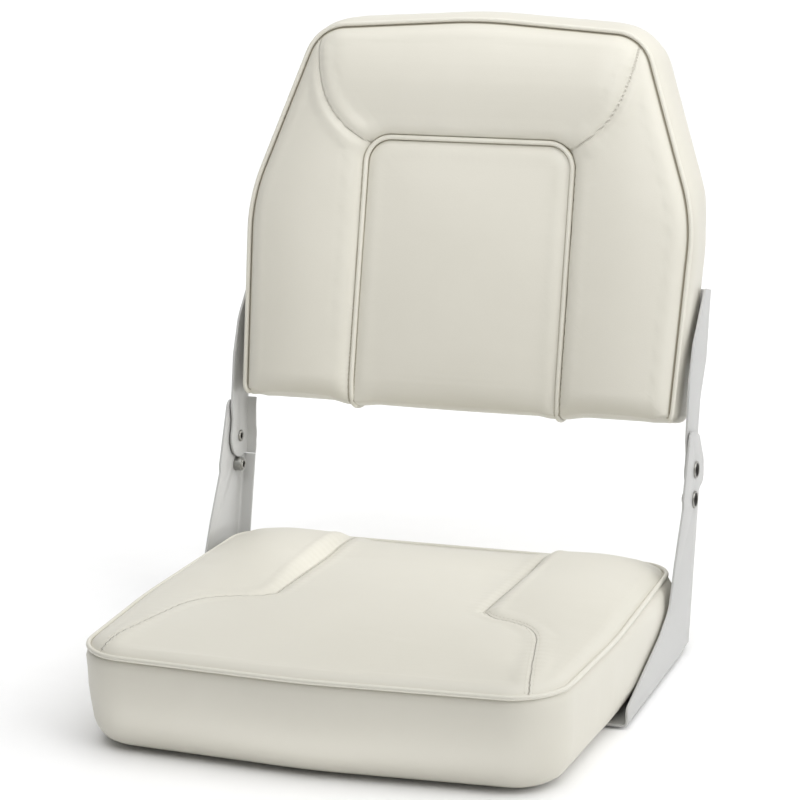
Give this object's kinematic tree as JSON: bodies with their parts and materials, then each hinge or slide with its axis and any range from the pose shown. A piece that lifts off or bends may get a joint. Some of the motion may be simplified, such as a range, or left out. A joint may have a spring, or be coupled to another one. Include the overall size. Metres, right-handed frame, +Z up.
{
  "type": "folding boat seat",
  "caption": "Low-back folding boat seat: welted vinyl seat cushion and bolstered backrest on riveted painted steel side brackets that let the back fold flat over the seat",
  "frame": {"origin": "centre of the four threaded inserts, on the underside of the seat board", "axes": "+X to a viewer's right in front of the seat, +Y from the seat's front towards its back, +Z up"},
  "size_m": [0.4158, 0.5012, 0.5015],
  "materials": {
    "vinyl": "satin marine vinyl with a fine grain",
    "welt": "vinyl piping over a cord",
    "foam": "open-cell cushion foam",
    "board": "plywood",
    "bracket": "white powder coat",
    "zinc": "zinc-plated steel, dulled"
  },
  "bodies": {
    "seat": {"seat_board": "board", "seat_foam": "foam", "seat_cover": "vinyl", "seat_welt": "welt", "seat_threaded_inserts": "zinc", "lower_bracket_left": "bracket", "lower_bracket_right": "bracket", "bracket_screws_left": "zinc", "bracket_screws_right": "zinc", "pivot_rivet_left": "zinc", "pivot_rivet_right": "zinc", "pivot_washer_left": "zinc", "pivot_washer_right": "zinc", "stop_rivet_left": "zinc", "stop_rivet_right": "zinc", "stop_sleeve_left": "zinc", "stop_sleeve_right": "zinc"},
    "backrest": {"back_board": "board", "back_foam": "foam", "back_cover": "vinyl", "back_rear_panel": "vinyl", "back_welt": "welt", "back_center_piping": "welt", "upper_arm_left": "bracket", "upper_arm_right": "bracket", "arm_screws_left": "zinc", "arm_screws_right": "zinc"}
  },
  "joints": [
    {"name": "backrest_fold", "type": "hinge", "parent": "seat", "child": "backrest", "pos_m": [0, 0.19528, 0.14318], "axis": [1, 0, 0], "range_deg": [0, 106.5]}
  ]
}
